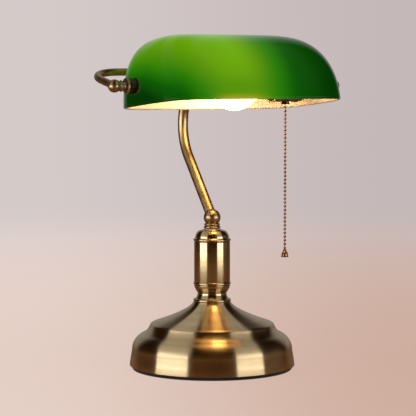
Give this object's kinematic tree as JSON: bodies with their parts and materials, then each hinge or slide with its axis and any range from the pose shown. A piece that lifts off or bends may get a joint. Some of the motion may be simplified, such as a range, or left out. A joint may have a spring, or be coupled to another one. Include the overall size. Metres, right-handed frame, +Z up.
{
  "type": "banker desk lamp",
  "caption": "Banker's desk lamp: round weighted brass base and column, bent arm and yoke, tilting green cased-glass shade over a bulb with a bead pull chain.",
  "frame": {"origin": "centre of the base's underside, on the surface it stands on", "axes": "+Z up, +X along the shade towards the pull chain, +Y to the rear, where the arm bows out"},
  "size_m": [0.2902, 0.2044, 0.3655],
  "materials": {
    "pad_felt": "soft matt black pad",
    "brushed_antique_brass": "brushed antique brass, lacquered",
    "polished_antique_brass": "polished antique brass, lacquered",
    "cast_weight": "rough cast",
    "zinc_steel": "zinc plated",
    "black_rubber": "moulded",
    "lead_sleeve": "sleeved flex",
    "nylon": "natural nylon",
    "fibre": "vulcanised fibre",
    "dark_bronze": "dark bronze, knurled",
    "chain_brass": "antique brass",
    "phenolic": "moulded phenolic",
    "contact_brass": "plain brass",
    "green_cased_glass": "glossy green over opal white, cased",
    "frosted_bulb": "frosted, lit",
    "cap_aluminium": "plain",
    "clear_stem": "clear",
    "filament": "tungsten"
  },
  "bodies": {
    "base": {"base_pad": "pad_felt", "base_shell": "brushed_antique_brass", "base_weight": "cast_weight", "base_spacer": "zinc_steel", "base_washer": "zinc_steel", "base_nut": "zinc_steel", "cord_gland": "black_rubber", "centre_rod": "zinc_steel", "base_collar": "brushed_antique_brass", "column_cup": "brushed_antique_brass", "column_tube": "brushed_antique_brass", "column_cap": "brushed_antique_brass", "column_lead": "lead_sleeve", "swivel_stud": "zinc_steel", "swivel_washer": "nylon", "swivel_nut": "zinc_steel"},
    "arm": {"swivel_neck": "polished_antique_brass", "swivel_ball": "polished_antique_brass", "arm_tube": "polished_antique_brass", "arm_lead": "lead_sleeve", "yoke_hub": "polished_antique_brass", "hub_screw": "zinc_steel", "yoke_rod": "polished_antique_brass", "yoke_lead": "lead_sleeve", "left_end_ball": "polished_antique_brass", "right_end_ball": "polished_antique_brass", "left_lock_ring": "polished_antique_brass", "right_lock_ring": "polished_antique_brass", "left_nipple": "zinc_steel", "right_nipple": "zinc_steel", "inner_nut": "zinc_steel", "holder_shell": "polished_antique_brass", "holder_cap": "polished_antique_brass", "holder_insulator": "phenolic", "screw_shell": "contact_brass", "centre_contact": "contact_brass", "chain_guide": "dark_bronze", "lever_pin": "zinc_steel"},
    "shade": {"shade_glass": "green_cased_glass", "left_shade_bush": "nylon", "right_shade_bush": "nylon", "left_outer_washer": "fibre", "right_outer_washer": "fibre", "left_inner_washer": "fibre", "right_inner_washer": "fibre"},
    "left_nut": {"left_thumb_nut": "dark_bronze"},
    "right_nut": {"right_thumb_nut": "dark_bronze"},
    "bulb": {"bulb_glass": "frosted_bulb", "bulb_cap": "cap_aluminium", "bulb_tip": "phenolic", "bulb_contact": "contact_brass", "bulb_stem": "clear_stem", "bulb_filament": "filament"},
    "lever": {"switch_lever": "zinc_steel"},
    "pull": {"pull_link": "chain_brass"},
    "chain": {"pull_chain": "chain_brass", "chain_bell": "chain_brass"}
  },
  "joints": [
    {"name": "arm_swivel", "type": "hinge", "parent": "base", "child": "arm", "pos_m": [0, 0, 0.1665], "axis": [0, 0, 1], "range_deg": [-150, 150]},
    {"name": "shade_tilt", "type": "hinge", "parent": "arm", "child": "shade", "pos_m": [0, -0.03302, 0.31059], "axis": [1, 0, 0], "range_deg": [-35, 40]},
    {"name": "left_nut_turn", "type": "hinge", "parent": "arm", "child": "left_nut", "pos_m": [-0.118, -0.03302, 0.31059], "axis": [1, 0, 0], "continuous": true},
    {"name": "right_nut_turn", "type": "hinge", "parent": "arm", "child": "right_nut", "pos_m": [0.118, -0.03302, 0.31059], "axis": [1, 0, 0], "continuous": true},
    {"name": "bulb_turn", "type": "hinge", "parent": "arm", "child": "bulb", "pos_m": [0.06, -0.03302, 0.31059], "axis": [-1, 0, 0], "range_deg": [0, 360]},
    {"name": "chain_pull", "type": "slide", "parent": "arm", "child": "pull", "axis": [0, 0, -1], "range_m": [0, 0.006], "stiffness_N_per_m": 600, "springref_m": -0.002},
    {"name": "switch_lever_turn", "type": "hinge", "parent": "arm", "child": "lever", "pos_m": [0.084, -0.03302, 0.30329], "axis": [0, -1, 0], "range_deg": [0, 34.4]},
    {"name": "chain_swing", "type": "hinge", "parent": "pull", "child": "chain", "pos_m": [0.074, -0.03302, 0.29139], "axis": [1, 0, 0], "range_deg": [-20, 20]}
  ],
  "couplings": [
    {"joint": "switch_lever_turn", "follows": "chain_pull", "rad_per_m": 100}
  ]
}
